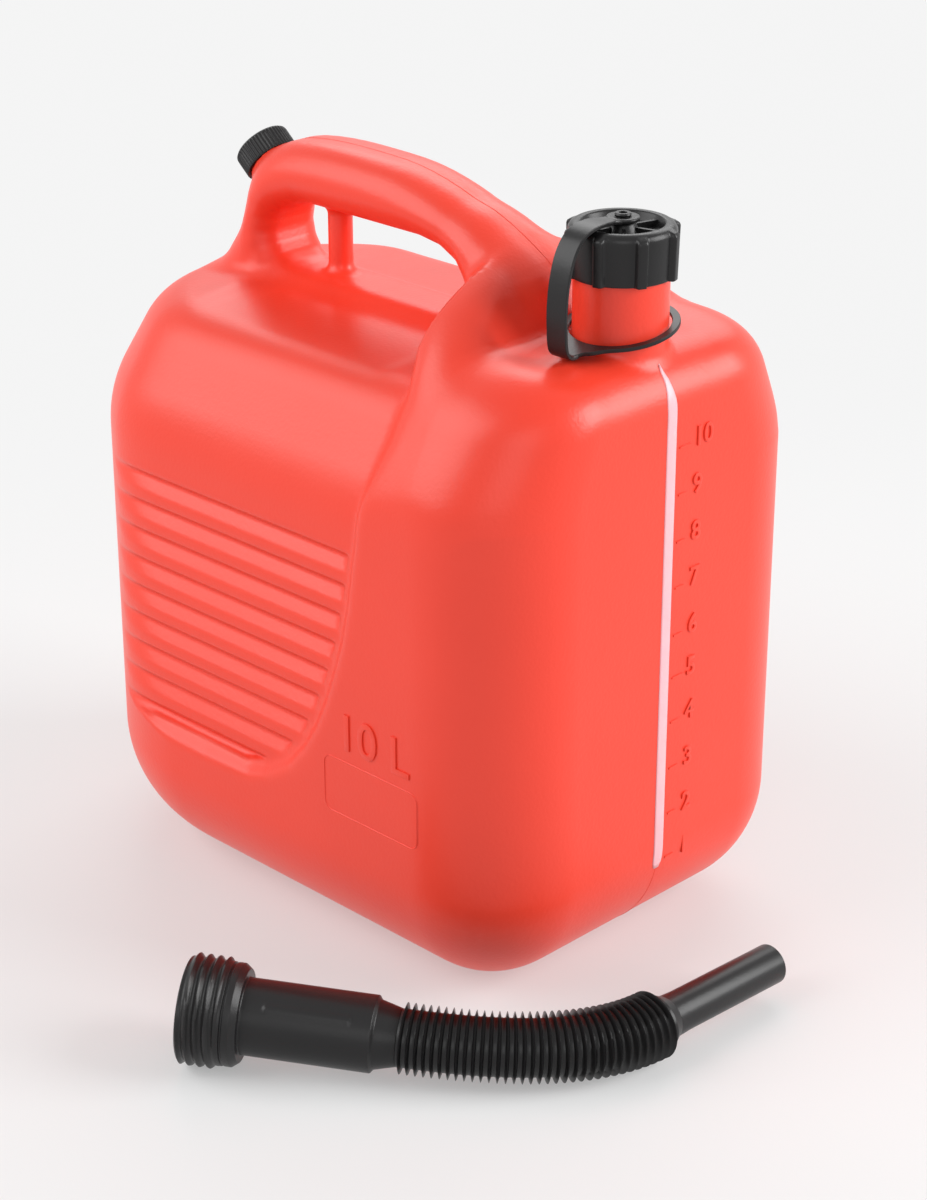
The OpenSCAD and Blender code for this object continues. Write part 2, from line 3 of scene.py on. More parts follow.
import bmesh
import bpy
import numpy as np
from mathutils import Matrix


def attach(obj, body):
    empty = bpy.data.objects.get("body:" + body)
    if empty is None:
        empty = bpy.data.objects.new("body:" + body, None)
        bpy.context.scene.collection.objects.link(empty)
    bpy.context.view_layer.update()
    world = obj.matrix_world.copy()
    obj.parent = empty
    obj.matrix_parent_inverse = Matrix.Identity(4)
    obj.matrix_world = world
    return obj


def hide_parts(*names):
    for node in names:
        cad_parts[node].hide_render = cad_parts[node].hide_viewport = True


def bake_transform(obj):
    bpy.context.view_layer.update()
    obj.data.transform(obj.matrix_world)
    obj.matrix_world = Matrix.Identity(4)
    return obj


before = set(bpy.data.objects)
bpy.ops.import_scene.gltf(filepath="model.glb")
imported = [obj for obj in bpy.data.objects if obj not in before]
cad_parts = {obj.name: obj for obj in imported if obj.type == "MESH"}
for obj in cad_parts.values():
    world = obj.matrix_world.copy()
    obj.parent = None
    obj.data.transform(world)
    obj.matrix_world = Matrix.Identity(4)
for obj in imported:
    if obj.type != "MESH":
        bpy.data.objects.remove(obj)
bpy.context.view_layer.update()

import openvdb
from mathutils import Matrix, Vector

scene = bpy.context.scene
scene.view_settings.view_transform = "Standard"

# Camera
# A long studio lens stands off the near corner of the can and looks down on it,
# so that the ribbed side and the level scale both show.
lens_mm = 82.0
camera_place = Vector((0.78955, -0.76426, 0.6108))
camera_azimuth = math.radians(44.79)
camera_elevation = math.radians(24.07)
looking = Vector((
    -math.sin(camera_azimuth) * math.cos(camera_elevation),
    math.cos(camera_azimuth) * math.cos(camera_elevation),
    -math.sin(camera_elevation)))
camera = bpy.data.objects.new("camera", bpy.data.cameras.new("camera"))
camera.data.lens = lens_mm
camera.location = camera_place
camera.rotation_euler = looking.to_track_quat("-Z", "Y").to_euler()
scene.collection.objects.link(camera)
scene.camera = camera

# Can body
# One blow-moulded shell of red polyethylene: vessel, side panels with their grooves, hollow handle,
# filler neck and vent neck. It is drawn as a smooth field in millimetres, then skinned with quads.
half_length, half_width = 145.0, 98.0
front_corner, back_corner, base_round = 47.0, 95.0, 54.0
panel_half, panel_blend = 93.0, 5.0
shoulder_out, shoulder_up, shoulder_z, shoulder_blend = 0.874, 0.486, 210.0, 7.0
crown_out, crown_up, crown_z, crown_inset, crown_blend = 0.12, 0.99, 252.0, 25.0, 11.0
saddle_z, saddle_blend = 261.0, 3.0
roof_rear_x, roof_start_x, roof_front_x = 40.0, 68.0, 96.0
roof_rear_rise, roof_front_rise, roof_ease, hip_share = 2.0, 0.25, 0.9, 0.35
ramp_camber, ramp_blend = 2500.0, 20.0
seat_edge, seat_fade_width, seat_depth = 60.0, 24.0, 2.0
edge_blend, edge_blend_gain, edge_blend_rise = 5.0, 10.0, 45.0
block_fillet = 4.0
handle_half, handle_round, handle_blend, grip_round = 20.0, 15.0, 8.0, 13.0
post_x, post_r, post_z, post_half, post_fillet = -43.0, 5.3, 276.0, 20.0, 5.0
neck_x, neck_r, neck_bore, neck_fillet = 117.0, 19.0, 15.0, 3.0
neck_z, neck_shoulder, neck_bore_floor = 270.0, 297.0, 250.0
vent_rim = np.array([-85.5, 0.0, 301.5])
vent_slope = math.radians(40)
vent_axis = np.array([-math.cos(vent_slope), 0.0, math.sin(vent_slope)])
vent_neck_r, vent_neck_half, vent_fillet = 10.8, 9.0, 4.0
groove_count, groove_pitch, groove_depth, groove_top, groove_lowest = 9, 13.65, 3.4, 188.0, 72.0
groove_fall, groove_turn, groove_rise = 2.9, 3.6, 5.8
groove_end_gap, groove_end_run, groove_end_drop = 5.0, 2.5, 2.0
upper_z, well_inside, well_outside = 205.0, -60.0, 60.0


def soft_min(a, b, reach):
    share = np.clip(0.5 + 0.5 * (b - a) / reach, 0, 1)
    return b + (a - b) * share - reach * share * (1 - share)


def soft_max(a, b, reach):
    return -soft_min(-a, -b, reach)


def round_max(a, b, radius):
    flat = np.minimum(np.maximum(a, b), -radius)
    return flat + np.hypot(np.maximum(a + radius, 0), np.maximum(b + radius, 0))


def round_min(a, b, radius):
    return -round_max(-a, -b, radius)


def outline_distance(x, z, corners, low=None, below_low=0.0):
    """Distance to a closed outline in the can's middle plane, below zero inside it.
    Under the height low it isn't needed, and one value stands for it."""
    if low is not None:
        distance = np.full(x.shape, below_low)
        high = z > low
        distance[high] = outline_distance(x[high], z[high], corners)
        return distance
    nearest = np.full(x.shape, 1e9)
    sign = np.ones(x.shape)
    for (ax, az), (bx, bz) in zip(corners, corners[-1:] + corners[:-1]):
        ex, ez = bx - ax, bz - az
        wx, wz = x - ax, z - az
        along = np.clip((wx * ex + wz * ez) / (ex * ex + ez * ez), 0, 1)
        nearest = np.minimum(nearest, (wx - ex * along) ** 2 + (wz - ez * along) ** 2)
        above, below, left = z >= az, z < bz, ex * wz > ez * wx
        sign = np.where((above & below & left) | (~above & ~below & ~left), -sign, sign)
    return sign * np.sqrt(nearest)


def smooth_way(stations, parts):
    """A smooth line through stations (Catmull-Rom), with parts points for each span."""
    way = np.array([stations[0]] + list(stations) + [stations[-1]], float)
    line = []
    for a, b, c, d in zip(way, way[1:], way[2:], way[3:]):
        for t in np.arange(parts) / parts:
            line.append(0.5 * (2 * b + (c - a) * t + (2 * a - 5 * b + 4 * c - d) * t * t
                               + (3 * b - 3 * c + d - a) * t ** 3))
    return np.array(line + [way[-1]])


panel_edge = [
    (67, 212), (65.6, 195), (63.6, 184), (60.7, 166), (56.8, 149), (52.8, 137), (47, 121), (40.5, 107),
    (32.7, 94.5), (22.9, 83.5), (7.9, 74), (-3, 71), (-32, 70), (-66, 71)]
block_edge = [
    (40, 420), (41, 291), (45, 285), (49, 278.5), (57, 271), (65, 261), (68.5, 251), (69.5, 236),
    (68.5, 222)]
panel_outline = panel_edge + [(-160, 71), (-160, 420)] + block_edge
handle_outline = smooth_way([
    (92, 262), (86, 283), (71, 294.5), (46, 305.5), (29, 312), (6, 317), (-20, 318.3), (-45, 318),
    (-66, 315), (-80, 307), (-87, 296), (-91, 284), (-94.5, 275), (-100, 267), (-106, 259),
    (-114, 249), (-120, 240)], 3).tolist()
handle_outline += [(-120, 215), (92, 215)]
grip_outline = [
    (-74.3, 274.5), (-73.2, 269.3), (-70.1, 264.8), (-65.6, 261.9), (-60, 261), (40, 261), (45, 266),
    (46, 272), (44.5, 279), (40, 285), (31, 289.5), (18, 291.4), (-52, 291.4), (-61, 289),
    (-65.6, 287.1), (-70.1, 284.2), (-73.2, 279.7)]
ramp_outline = smooth_way([
    (145, 266), (130, 268), (108, 269.4), (95, 271), (88, 279), (79.5, 289), (70, 295), (46, 306),
    (29, 313), (0, 330)], 3).tolist()
ramp_outline += [(-300, 330), (-300, -300), (260, -300), (260, 262)]
roof_line = smooth_way([
    (98, 175), (98, 194), (97.6, 205), (96.2, 213.5), (92.6, 222), (85.6, 235), (77, 250), (66.3, 265.5),
    (55, 277.2), (43, 287), (32, 296), (25, 305), (21, 318), (19, 340)], 6)
edge_z = [z for x, z in panel_edge[::-1]]
edge_x = [x for x, z in panel_edge[::-1]]


def groove_field(x, z):
    """How deep the moulded grooves cut into the side panel."""
    drop = groove_top - z
    inside = (drop > 0) & (drop < groove_count * groove_pitch) & (z > groove_lowest)
    down = np.mod(drop, groove_pitch)
    profile = np.minimum(down / groove_fall, 1 - (down - groove_turn) / groove_rise)
    ends = (np.interp(z - groove_end_drop, edge_z, edge_x) - groove_end_gap - x) / groove_end_run
    return groove_depth * np.clip(np.minimum(profile, ends), 0, 1) * inside


def body_field(x, y, z):
    """Distance to the outside of the moulding, below zero inside it."""
    side = np.abs(y)
    corner_r = np.where(x > 0, front_corner, back_corner)
    plan = round_max(np.abs(x) - half_length, side - half_width, corner_r)
    # Rear of the vessel: flat panels, a sloping shoulder and the saddle under the grip
    wall = soft_max(plan, side - panel_half, panel_blend)
    rear = soft_max(plan, side - panel_half + groove_field(x, z), panel_blend)
    rear = soft_max(rear, shoulder_out * wall + shoulder_up * (z - shoulder_z), shoulder_blend)
    rear = soft_max(rear, crown_out * (wall + crown_inset) + crown_up * (z - crown_z), crown_blend)
    rear = soft_max(rear, z - saddle_z, saddle_blend)
    # Front block: full-width walls under a hipped roof that the handle's ramp runs down. A shallow
    # seat round the neck leaves room for the strap's ring to turn
    roof_rise = np.where(x > roof_start_x, roof_front_rise, roof_rear_rise)
    roof_lift = roof_rise * (np.clip(x, roof_rear_x, roof_front_x) - roof_start_x)
    roof_half = np.interp(z - roof_lift, roof_line[:, 1], roof_line[:, 0])
    roof_hip = front_corner - hip_share * (half_width - roof_half)
    roof = round_max(x - half_length, side - roof_half, roof_hip)
    seat_fade = np.clip((seat_edge - np.hypot(x - neck_x, y)) / seat_fade_width, 0, 1)
    ring_seat = seat_depth * seat_fade * seat_fade * (3 - 2 * seat_fade)
    ramp_z = z + side * side / ramp_camber + ring_seat
    ramp = outline_distance(x, ramp_z, ramp_outline, upper_z, well_inside)
    front = soft_max(roof_ease * roof, ramp, ramp_blend)
    blend = edge_blend + edge_blend_gain * np.clip((z - upper_z) / edge_blend_rise, 0, 1)
    front = soft_max(front, -outline_distance(x, z, panel_outline), blend)
    body = np.maximum(round_min(rear, front, block_fillet), round_max(plan, -z, base_round))
    # Handle: a flat-sided loop with rounded edges, open at the grip, with a post across the opening
    loop = outline_distance(x, z, handle_outline, upper_z, well_outside)
    body = soft_min(body, round_max(loop, side - handle_half, handle_round), handle_blend)
    grip = outline_distance(x, z, grip_outline, upper_z, well_outside)
    body = round_max(body, -grip, grip_round)
    post = np.maximum(np.hypot(x - post_x, y) - post_r, np.abs(z - post_z) - post_half)
    body = round_min(body, post, post_fillet)
    # Necks
    neck_off = np.hypot(x - neck_x, y)
    neck = np.maximum(neck_off - neck_r, np.abs(z - neck_z) - (neck_shoulder - neck_z))
    body = round_min(body, neck, neck_fillet)
    body = np.maximum(body, -np.maximum(neck_off - neck_bore, neck_bore_floor - z))
    along = (x - vent_rim[0]) * vent_axis[0] + (z - vent_rim[2]) * vent_axis[2]
    across = np.hypot((x - vent_rim[0]) * vent_axis[2] - (z - vent_rim[2]) * vent_axis[0], y)
    vent_neck = np.maximum(across - vent_neck_r, np.abs(along + vent_neck_half) - vent_neck_half)
    return round_min(body, vent_neck, vent_fillet)


cell = np.array([2.4, 2.0, 1.25])
lattice_low = np.array([-150.0, 0.0, -4.0])
lattice_count = np.array([126, 52, 263])
settle_rounds, settle_probe, settle_limit = 3, 0.3, 1.2
lattice = [lattice_low[i] + cell[i] * np.arange(lattice_count[i]) for i in range(3)]
half_field = body_field(*np.meshgrid(*lattice, indexing="ij"))
whole_field = np.concatenate([half_field[:, :0:-1], half_field], axis=1).astype(np.float32)
grid = openvdb.FloatGrid(9.0)
grid.copyFromArray(np.ascontiguousarray(whole_field))
body_points, body_quads = grid.convertToQuads(isovalue=0.0)
body_points = body_points * cell + lattice_low - [0, cell[1] * (lattice_count[1] - 1), 0]
for _ in range(settle_rounds):
    value = body_field(*body_points.T)
    slope = np.stack([
        body_field(*(body_points + step).T) - body_field(*(body_points - step).T)
        for step in settle_probe * np.eye(3)], axis=1) / (2 * settle_probe)
    move = -value[:, None] * slope / np.maximum((slope ** 2).sum(1), 0.2)[:, None]
    body_points = body_points + np.clip(move, -settle_limit, settle_limit)


def new_piece(name, points_mm, faces, material, sharp=None):
    """A smooth-shaded piece from points in millimetres. Edges sharper than an angle in
    degrees stay crisp."""
    mesh = bpy.data.meshes.new(name)
    mesh.from_pydata((np.asarray(points_mm, float) / 1000).tolist(), [], [list(map(int, f)) for f in faces])
    edit = bmesh.new()
    edit.from_mesh(mesh)
    bmesh.ops.remove_doubles(edit, verts=edit.verts, dist=1e-6)
    bmesh.ops.recalc_face_normals(edit, faces=edit.faces)
    edit.to_mesh(mesh)
    edit.free()
    mesh.shade_smooth()
    if sharp:
        mesh.set_sharp_from_angle(angle=math.radians(sharp))
    mesh.materials.append(material)
    piece = bpy.data.objects.new(name, mesh)
    scene.collection.objects.link(piece)
    return piece


def moulded_plastic(name, colour, darker, roughness, grain_size, grain_depth, specular=0.5):
    """Moulded polyethylene: a slightly uneven dye, a fine pebbled grain and a soft, uneven gloss."""
    material = bpy.data.materials.new(name)
    material.use_nodes = True
    nodes, links = material.node_tree.nodes, material.node_tree.links
    shader = nodes["Principled BSDF"]
    shader.inputs["Specular IOR Level"].default_value = specular
    place = nodes.new("ShaderNodeTexCoord")
    clouds = nodes.new("ShaderNodeTexNoise")
    clouds.inputs["Scale"].default_value = 14
    clouds.inputs["Detail"].default_value = 3
    links.new(place.outputs["Object"], clouds.inputs["Vector"])
    dye = nodes.new("ShaderNodeMix")
    dye.data_type = "RGBA"
    dye.inputs["A"].default_value = (*darker, 1)
    dye.inputs["B"].default_value = (*colour, 1)
    links.new(clouds.outputs["Fac"], dye.inputs["Factor"])
    links.new(dye.outputs["Result"], shader.inputs["Base Color"])
    gloss = nodes.new("ShaderNodeMapRange")
    gloss.inputs["To Min"].default_value = roughness - 0.05
    gloss.inputs["To Max"].default_value = roughness + 0.07
    links.new(clouds.outputs["Fac"], gloss.inputs["Value"])
    links.new(gloss.outputs["Result"], shader.inputs["Roughness"])
    pebbles = nodes.new("ShaderNodeTexNoise")
    pebbles.inputs["Scale"].default_value = 1 / grain_size
    pebbles.inputs["Detail"].default_value = 2
    links.new(place.outputs["Object"], pebbles.inputs["Vector"])
    bump = nodes.new("ShaderNodeBump")
    bump.inputs["Strength"].default_value = 0.35
    bump.inputs["Distance"].default_value = grain_depth
    links.new(pebbles.outputs["Fac"], bump.inputs["Height"])
    links.new(bump.outputs["Normal"], shader.inputs["Normal"])
    return material


red_plastic = moulded_plastic(
    "red_plastic", (0.85, 0.054, 0.027), (0.79, 0.045, 0.021), 0.34, 0.0016, 0.00025, specular=0.42)
can_shell = new_piece("can_shell", body_points, body_quads, red_plastic)
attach(can_shell, "can")
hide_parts("can_body")

# Level stripe
# The undyed stripe in the front wall that shows the fuel's level, moulded with the shell and all but
# flush with it. It follows the front wall from the bottom rounding up and over the edge of the neck's pad.
stripe_width, stripe_proud, stripe_steps = 5.8, 0.4, 90
stripe_foot, stripe_head = 43.0, 263.0
foot_share, foot_spread, head_share, head_spread = 0.55, 30.0, 0.12, 14.0


def first_skin(start, end, steps):
    """The point where a straight way from outside the can first meets its skin."""
    way = np.linspace(start, end, steps)
    value = body_field(*way.T)
    inside = int(np.argmax(value < 0))
    share = value[inside - 1] / (value[inside - 1] - value[inside])
    return way[inside - 1] + share * (way[inside] - way[inside - 1])


def front_face(z):
    """How far forward the front wall lies in the middle plane."""
    return first_skin((150, 0, z), (100, 0, z), 400)[0]


def translucent_plastic(name, colour, roughness):
    """Undyed polyethylene, milky and lit from inside."""
    material = bpy.data.materials.new(name)
    material.use_nodes = True
    nodes, links = material.node_tree.nodes, material.node_tree.links
    shader = nodes["Principled BSDF"]
    shader.inputs["Roughness"].default_value = roughness
    shader.inputs["Subsurface Weight"].default_value = 0.4
    shader.inputs["Subsurface Radius"].default_value = (0.004, 0.0016, 0.0012)
    place = nodes.new("ShaderNodeTexCoord")
    milk = nodes.new("ShaderNodeTexNoise")
    milk.inputs["Scale"].default_value = 60
    links.new(place.outputs["Object"], milk.inputs["Vector"])
    tint = nodes.new("ShaderNodeMix")
    tint.data_type = "RGBA"
    tint.inputs["A"].default_value = (*[0.93 * c for c in colour], 1)
    tint.inputs["B"].default_value = (*colour, 1)
    links.new(milk.outputs["Fac"], tint.inputs["Factor"])
    links.new(tint.outputs["Result"], shader.inputs["Base Color"])
    return material


def sweep_faces(rings, sides, capped=True):
    """Quads between rings of equally many points, with a flat face over each end."""
    faces = []
    for j in range(rings - 1):
        for i in range(sides):
            k = (i + 1) % sides
            faces.append((j * sides + i, j * sides + k, (j + 1) * sides + k, (j + 1) * sides + i))
    if capped:
        faces += [tuple(range(sides)), tuple(range((rings - 1) * sides, rings * sides))]
    return faces


stripe_heights = np.linspace(stripe_foot, stripe_head, stripe_steps)
stripe_line = np.array([[front_face(z), 0.0, z] for z in stripe_heights])
stripe_way = np.gradient(stripe_line, axis=0)
stripe_way /= np.linalg.norm(stripe_way, axis=1)[:, None]
stripe_out = np.stack([stripe_way[:, 2], np.zeros(stripe_steps), -stripe_way[:, 0]], axis=1)
stripe_section = [(-0.5, -1.6), (-0.46, 0.7), (-0.34, 1.0), (0.34, 1.0), (0.46, 0.7), (0.5, -1.6)]
stripe_points = []
for at, out, end in zip(stripe_line, stripe_out, np.linspace(0, 1, stripe_steps)):
    taper = min(1, foot_share + foot_spread * end, head_share + head_spread * (1 - end))
    for w, h in stripe_section:
        stripe_points.append(at + out * h * stripe_proud + np.array([0, w * stripe_width * taper, 0]))
stripe_faces = sweep_faces(stripe_steps, len(stripe_section))
milky_plastic = translucent_plastic("milky_plastic", (0.93, 0.48, 0.52), 0.35)
level_stripe = new_piece("stripe", stripe_points, stripe_faces, milky_plastic)
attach(level_stripe, "can")
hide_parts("level_stripe")

# Litre scale
# Raised ticks and plain numerals beside the stripe, one for each litre, moulded in the shell's own red.
# The same lettering gives the can's capacity low on the near side, over a bare raised frame.
litre_heights = [46.1, 67, 88, 109.2, 129.3, 148.2, 169.1, 189, 209.2, 229.2]
mark_proud, mark_sunk, capital_share = 0.55, 0.8, 0.7
tick_start, tick_length, long_tick, tick_half, tick_share = 5.0, 5.0, 6.5, 0.45, 0.7
numeral_height, numeral_start, numeral_drop, numeral_bold = 8.0, 13.5, 1.5, 0.12
capacity_at, capacity_height, capacity_wide, capacity_bold = (56.0, 104.0), 16.0, 1.04, 0.1
plate_low, plate_high, plate_round = (48.0, 73.0), (102.0, 98.0), 4.0
plate_half, plate_proud, plate_steps = 0.45, 0.3, 7


def raised_text(name, words, height, proud, bold):
    """Lettering as a solid in the XY plane, in millimetres, its baseline from the origin along +X."""
    curve = bpy.data.curves.new(name, "FONT")
    curve.body = words
    curve.size = height / capital_share
    curve.extrude = proud
    curve.offset = bold
    curve.bevel_depth = 0.12
    curve.bevel_resolution = 1
    curve.resolution_u = 4
    words_object = bpy.data.objects.new(name, curve)
    scene.collection.objects.link(words_object)
    depsgraph = bpy.context.evaluated_depsgraph_get()
    mesh = bpy.data.meshes.new_from_object(words_object.evaluated_get(depsgraph))
    points = np.array([v.co for v in mesh.vertices])
    faces = [tuple(p.vertices) for p in mesh.polygons]
    bpy.data.objects.remove(words_object)
    bpy.data.curves.remove(curve)
    bpy.data.meshes.remove(mesh)
    return points, faces


def join_shapes(shapes):
    """Points and faces of several shapes as one."""
    points, faces, used = [], [], 0
    for p, f in shapes:
        points.extend(np.asarray(p).tolist())
        faces.extend([tuple(i + used for i in face) for face in f])
        used += len(p)
    return points, faces


def block(low, high):
    """A plain block between two corners, for the small ticks."""
    points = [(x, y, z) for x in (low[0], high[0]) for y in (low[1], high[1]) for z in (low[2], high[2])]
    return points, [(0, 1, 3, 2), (4, 6, 7, 5), (0, 4, 5, 1), (2, 3, 7, 6), (0, 2, 6, 4), (1, 5, 7, 3)]


scale_shapes = []
for litre, z in enumerate(litre_heights, 1):
    x = front_face(z)
    tick_end = tick_start + (tick_length if litre % 5 else long_tick)
    scale_shapes.append(block(
        (x - mark_sunk, tick_start, z - tick_half), (x + mark_proud * tick_share, tick_end, z + tick_half)))
    letters, faces = raised_text("litre", str(litre), numeral_height, mark_proud, numeral_bold)
    letters = [x + letters[:, 2], letters[:, 0] + numeral_start, letters[:, 1] + z - numeral_drop]
    scale_shapes.append((np.stack(letters, axis=1), faces))
letters, faces = raised_text("capacity", "10 L", capacity_height, mark_proud, capacity_bold)
letters = [
    capacity_at[0] + capacity_wide * letters[:, 0], -half_width - letters[:, 2],
    capacity_at[1] + letters[:, 1]]
scale_shapes.append((np.stack(letters, axis=1), faces))
plate_count = 4 * plate_steps
plate_points = []
for n in range(plate_count):
    corner, step = divmod(n, plate_steps)
    turn = math.radians(90 * corner + 90 * step / (plate_steps - 1))
    across = plate_high[0] - plate_round if corner in (0, 3) else plate_low[0] + plate_round
    up = plate_high[1] - plate_round if corner < 2 else plate_low[1] + plate_round
    for off, out in ((plate_half, -plate_proud), (0, plate_proud), (-plate_half, -plate_proud)):
        reach = plate_round + off
        plate_points.append((
            across + reach * math.cos(turn), -half_width - out, up + reach * math.sin(turn)))
plate_faces = sweep_faces(plate_count, 3, capped=False)
last = 3 * (plate_count - 1)
plate_faces += [(last + i, last + (i + 1) % 3, (i + 1) % 3, i) for i in range(3)]
scale_shapes.append((plate_points, plate_faces))
litre_scale = new_piece("litre_scale", *join_shapes(scale_shapes), red_plastic, 40)
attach(litre_scale, "can")

# Parting line
# The fine seam that the two halves of the mould leave in the shell's middle plane. It shows
# under the stripe, over the edge of the neck's pad and along the top of the handle.
seam_half, seam_proud, seam_sunk = 0.45, 0.2, 0.25
seam_foot, handle_seam_rear, handle_seam_front = 4.0, -64.0, 86.0


def top_face(x):
    """How high the shell reaches in its middle plane."""
    return first_skin((x, 0, 330), (x, 0, 230), 800)[2]


def seam_shape(line):
    """A fine bead along a line of points (x, z) in the middle plane."""
    line = np.array(line)
    way = np.gradient(line, axis=0)
    way /= np.linalg.norm(way, axis=1)[:, None]
    points = []
    for (x, z), (ahead, up) in zip(line, way):
        for wide, out in ((-seam_half, -seam_sunk), (0, seam_proud), (seam_half, -seam_sunk)):
            points.append((x + up * out, wide, z - ahead * out))
    return points, sweep_faces(len(line), 3)


foot_seam = np.linspace(seam_foot, stripe_foot + 1, 30)
pad_seam = np.linspace(front_face(stripe_head) + 0.5, neck_x + neck_r + 3, 12)[::-1]
handle_seam = np.linspace(handle_seam_rear, handle_seam_front, 90)[::-1]
seam_shapes = [
    seam_shape([(front_face(z), z) for z in foot_seam]),
    seam_shape([(x, top_face(x)) for x in pad_seam]),
    seam_shape([(x, top_face(x)) for x in handle_seam])]
parting_line = new_piece("parting_line", *join_shapes(seam_shapes), red_plastic)
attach(parting_line, "can")

# Neck thread
# The screw end of the filler neck, blown with the shell: a plain rim above a coarse round thread.
# The cap hides it until it is unscrewed.
neck_core, neck_crest, neck_root, neck_top = 17.4, 18.7, 294.0, 307.6
neck_lead, thread_low, thread_high = 5.0, 298.2, 305.4
around_neck = Matrix.Translation((neck_x, 0, 0))


def rounded(corners, steps=5):
    """A closed outline whose corners (across, up, radius) are rounded to their radius."""
    outline = []
    for i, (across, up, radius) in enumerate(corners):
        corner = np.array([across, up], float)
        before = np.array(corners[i - 1][:2]) - corner
        after = np.array(corners[(i + 1) % len(corners)][:2]) - corner
        before, after = before / np.hypot(*before), after / np.hypot(*after)
        half = 0.5 * math.acos(np.clip(before @ after, -1, 1))
        middle = (before + after) / np.hypot(*(before + after))
        centre = corner + middle * radius / math.sin(half)
        for t in np.linspace(0, 1, steps) if radius else [0]:
            spoke = corner + (before * (1 - t) + after * t) * radius / math.tan(half) - centre
            outline.append(tuple(centre + spoke * radius / max(np.hypot(*spoke), 1e-9)))
    return outline


def filled(outline, gap):
    """The same closed outline with points added wherever two lie further apart than a gap."""
    points = []
    for a, b in zip(outline, outline[1:] + outline[:1]):
        parts = max(1, math.ceil(math.hypot(b[0] - a[0], b[1] - a[1]) / gap))
        for i in range(parts):
            points.append((a[0] + (b[0] - a[0]) * i / parts, a[1] + (b[1] - a[1]) * i / parts))
    return points


def turned(outline, sides, frame_at, swell=None):
    """A closed outline (radius, height) turned about an axis. swell(angle, radius, height)
    adds to the radius."""
    points, count_r = [], len(outline)
    for i in range(sides):
        angle = 2 * math.pi * i / sides
        for r, h in outline:
            wide = r + (swell(angle, r, h) if swell else 0)
            points.append(frame_at @ Vector((wide * math.cos(angle), wide * math.sin(angle), h)))
    faces = []
    for i in range(sides):
        j = (i + 1) % sides
        for k in range(count_r):
            m = (k + 1) % count_r
            faces.append((i * count_r + k, j * count_r + k, j * count_r + m, i * count_r + m))
    return [tuple(p) for p in points], faces


def thread_ridge(angle, height, low, high, lead):
    """A round thread, from 0 to 1, that fades out at both ends."""
    phase = ((height - low) / lead - angle / (2 * math.pi)) % 1
    ends = min(1, max(0, height - low), max(0, high - height))
    return ends * (0.5 - 0.5 * math.cos(2 * math.pi * phase)) ** 1.5


def neck_swell(angle, radius, height):
    if radius < neck_core - 0.1:
        return 0
    return (neck_crest - neck_core) * thread_ridge(angle, height, thread_low, thread_high, neck_lead)


neck_profile = filled(rounded([
    (neck_bore, neck_root, 0), (neck_core, neck_root, 0), (neck_core, neck_top, 0.8),
    (neck_bore, neck_top, 0.5)]), 0.5)
neck_thread = new_piece("neck_thread", *turned(neck_profile, 96, around_neck, neck_swell), red_plastic)
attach(neck_thread, "can")

# Cap gasket
# A flat rubber ring pressed into the cap, which the neck's rim seals against.
cap_gasket_in, cap_gasket_out, cap_gasket_low, cap_gasket_high = 13.2, 17.1, 307.75, 309.7


def washer(inner, outer, low, high, edge):
    """The section of a flat ring with eased edges."""
    return rounded([(inner, low, edge), (outer, low, edge), (outer, high, edge), (inner, high, edge)], 3)


seal_rubber = moulded_plastic("seal_rubber", (0.03, 0.03, 0.032), (0.02, 0.02, 0.021), 0.6, 0.001, 0.0001)
cap_gasket_profile = washer(cap_gasket_in, cap_gasket_out, cap_gasket_low, cap_gasket_high, 0.2)
cap_seal = new_piece("cap_seal_ring", *turned(cap_gasket_profile, 72, around_neck), seal_rubber)
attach(cap_seal, "cap_seal")
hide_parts("cap_gasket")

# Filler cap
# A screw cap injected in black plastic: eight narrow grip lugs round the skirt, a broad rounded rim,
# and a dished top with thin webs and a hollow stud that carries the strap's eyelet.
cap_skirt_in, cap_skirt, cap_foot, cap_floor, cap_rim = 19.5, 20.9, 295.5, 312.0, 316.0
cap_roof, dish_r, dish_floor_r = 2.2, 16.6, 14.8
lug_count, lug_first, lug_reach, lug_half, lug_flank = 8, 17.0, 2.1, 7.2, 3.4
lug_head_drop, lug_head_run = 0.9, 1.6
web_count, web_first, web_half, web_reach, web_height = 6, 15.0, 0.7, 16.4, 2.4
stud_boss_r, stud_r, stud_top = 4.6, 2.7, 319.6
eyelet_z = 316.4


def cap_swell(angle, radius, height):
    """The grip lugs, narrow ribs with rounded heads at the rim."""
    if radius < cap_skirt_in + 0.8:
        return 0
    turn = (math.degrees(angle) - lug_first + 180 / lug_count) % (360 / lug_count) - 180 / lug_count
    width = min(1, max(0, (lug_half - abs(turn)) / lug_flank))
    head = min(1, max(0, (cap_rim - lug_head_drop - height) / lug_head_run))
    return lug_reach * width * width * (3 - 2 * width) * math.sqrt(head)


cap_profile = filled(rounded([
    (cap_skirt_in, cap_foot, 0.2), (cap_skirt, cap_foot, 0.4), (cap_skirt + 0.5, cap_rim, 3.0),
    (dish_r, cap_rim, 1.2), (dish_floor_r, cap_floor, 1.4), (stud_boss_r + 2.4, cap_floor, 1.2),
    (stud_boss_r, eyelet_z - 0.2, 0.4), (stud_r, eyelet_z - 0.2, 0), (stud_r, eyelet_z + 2.1, 0.1),
    (stud_r + 0.8, eyelet_z + 2.4, 0.2), (stud_r + 0.3, stud_top, 0.4), (stud_r - 1.1, stud_top, 0.3),
    (stud_r - 1.2, eyelet_z - 1, 0.2), (0, eyelet_z - 1, 0), (0, cap_floor - cap_roof, 0),
    (cap_skirt_in, cap_floor - cap_roof, 0.4)]), 1.3)
cap_shapes = [turned(cap_profile, 288, around_neck, cap_swell)]
